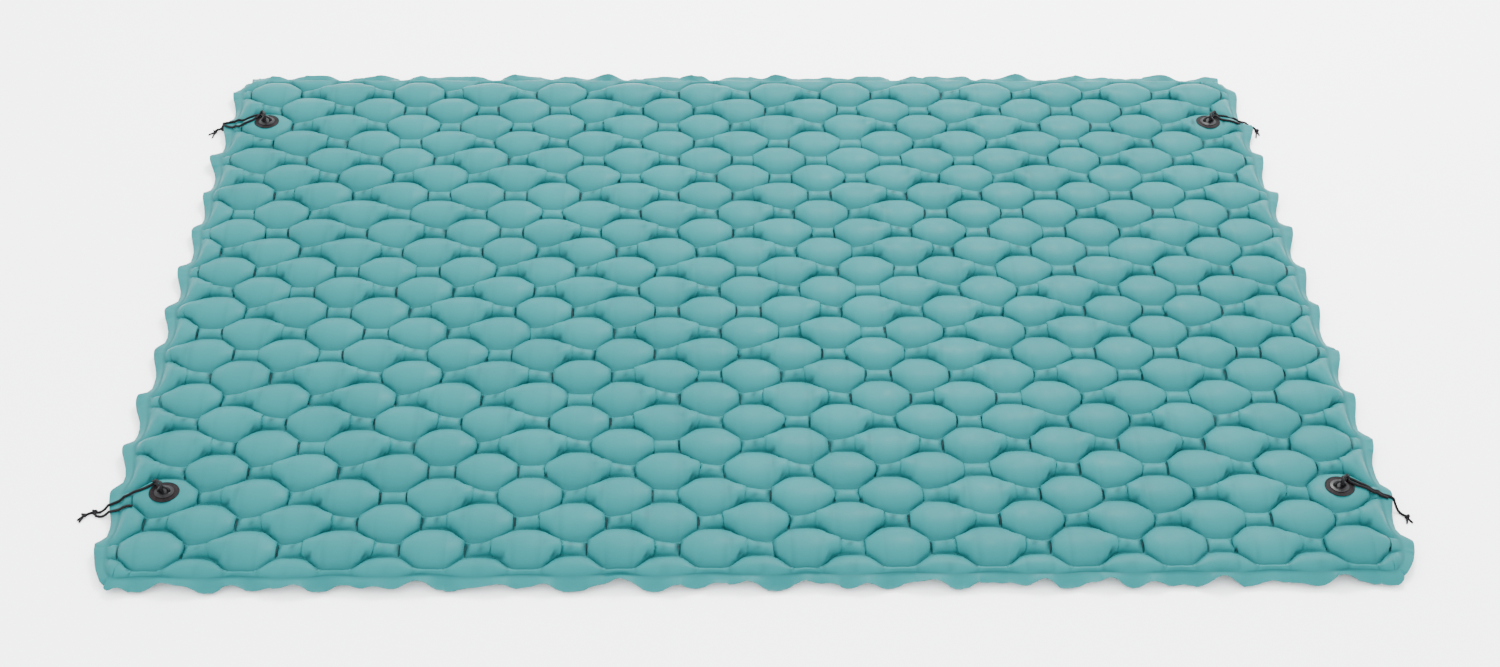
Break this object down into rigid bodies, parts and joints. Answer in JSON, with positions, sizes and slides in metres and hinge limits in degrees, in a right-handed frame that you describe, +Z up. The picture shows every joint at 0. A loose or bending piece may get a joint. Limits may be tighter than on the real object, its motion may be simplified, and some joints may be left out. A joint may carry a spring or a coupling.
{
  "type": "inflatable mat",
  "caption": "Large quilted inflatable mat for lying on, with tie-down eyelets and short cords near its corners and a recessed air valve underneath.",
  "frame": {"origin": "centre of the mat's outline, on the plane it rests on", "axes": "+X along the long side, +Y towards the rear edge, +Z up out of the top sheet"},
  "size_m": [2.9742, 2.1302, 0.0708],
  "materials": {
    "teal_vinyl": "satin embossed vinyl film",
    "patch_black": "matt welded disc",
    "moulded_black": "glossy moulding",
    "cord_black": "braided cord",
    "valve_plastic": "moulded plastic",
    "seal_rubber": "soft rubber"
  },
  "bodies": {
    "mat": {"top_sheet": "teal_vinyl", "bottom_sheet": "teal_vinyl", "valve_base": "moulded_black", "eyelet_patch_front_left": "patch_black", "eyelet_front_left": "moulded_black", "eyelet_patch_front_right": "patch_black", "eyelet_front_right": "moulded_black", "eyelet_patch_rear_left": "patch_black", "eyelet_rear_left": "moulded_black", "eyelet_patch_rear_right": "patch_black", "eyelet_rear_right": "moulded_black", "cord_loop_front_left": "cord_black", "hitch_knot_front_left": "cord_black", "tether_front_left": "cord_black", "end_knot_front_left": "cord_black", "tether_tail_front_left": "cord_black", "cord_end_front_left": "cord_black", "stopper_knot_front_left": "cord_black", "cord_loop_front_right": "cord_black", "hitch_knot_front_right": "cord_black", "tether_front_right": "cord_black", "end_knot_front_right": "cord_black", "tether_tail_front_right": "cord_black", "cord_loop_rear_left": "cord_black", "hitch_knot_rear_left": "cord_black", "tether_rear_left": "cord_black", "end_knot_rear_left": "cord_black", "tether_tail_rear_left": "cord_black", "cord_end_rear_left": "cord_black", "stopper_knot_rear_left": "cord_black", "cord_loop_rear_right": "cord_black", "hitch_knot_rear_right": "cord_black", "tether_rear_right": "cord_black", "end_knot_rear_right": "cord_black", "tether_tail_rear_right": "cord_black", "cord_end_rear_right": "cord_black", "stopper_knot_rear_right": "cord_black"},
    "valve_plug": {"valve_plug": "valve_plastic", "valve_seal": "seal_rubber", "cap_strap": "valve_plastic"},
    "valve_cap": {"valve_cap": "valve_plastic"},
    "valve_flap": {"valve_flap": "seal_rubber"}
  },
  "joints": [
    {"name": "plug_pull", "type": "slide", "parent": "mat", "child": "valve_plug", "axis": [0, 0, -1], "range_m": [0, 0.022]},
    {"name": "cap_hinge", "type": "hinge", "parent": "valve_plug", "child": "valve_cap", "pos_m": [1.00179, -0.8625, 0.002], "axis": [0, 1, 0], "range_deg": [0, 130]},
    {"name": "flap_hinge", "type": "hinge", "parent": "valve_plug", "child": "valve_flap", "pos_m": [1.00279, -0.8625, 0.0173], "axis": [0, -1, 0], "range_deg": [0, 50], "stiffness_Nm_per_rad": 0.0003, "springref_deg": -17.19}
  ]
}
